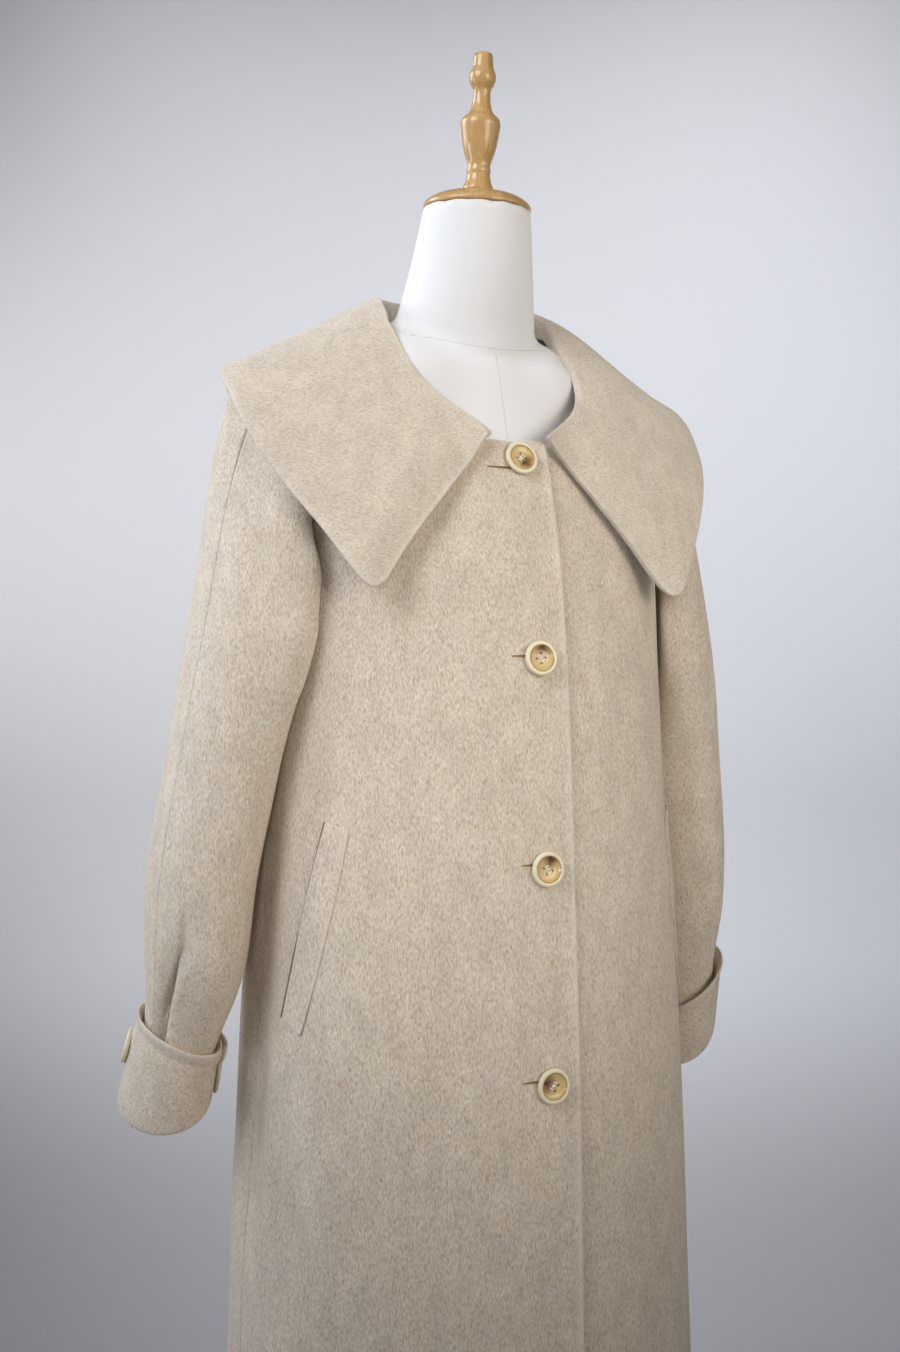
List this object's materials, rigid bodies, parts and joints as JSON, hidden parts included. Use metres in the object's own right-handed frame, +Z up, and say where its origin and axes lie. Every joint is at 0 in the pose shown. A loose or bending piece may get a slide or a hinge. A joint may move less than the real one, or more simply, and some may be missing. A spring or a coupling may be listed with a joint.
{
  "type": "long coat on a dress form",
  "caption": "Long beige wool coat with a wide cape collar, horn buttons, welt pockets and turned cuffs, buttoned on an ivory dress form with a turned wood finial and a pole stand.",
  "frame": {"origin": "middle of the underside of the stand base", "axes": "+Z up along the pole, the front of the coat faces -Y, the wearer's left is +X"},
  "size_m": [0.6343, 0.4, 1.6337],
  "materials": {
    "wool": "brushed wool cloth with a short laid nap",
    "horn": "polished horn with a cream rim",
    "linen": "smooth ivory cover",
    "wood": "turned and varnished",
    "steel": "brushed"
  },
  "bodies": {
    "root": {"front_right": "wool", "front_left": "wool", "back": "wool", "collar": "wool", "sleeve_right_upper": "wool", "sleeve_right_under": "wool", "sleeve_left_upper": "wool", "sleeve_left_under": "wool", "cuff_right": "wool", "cuff_left": "wool", "pocket_welt_right": "wool", "pocket_welt_left": "wool", "button_front_1": "horn", "button_front_2": "horn", "button_front_3": "horn", "button_front_4": "horn", "button_cuff_right": "horn", "button_cuff_left": "horn", "form_torso": "linen", "neck_cap": "wood", "finial": "wood", "stand_pole": "steel", "stand_base": "wood"}
  },
  "joints": []
}
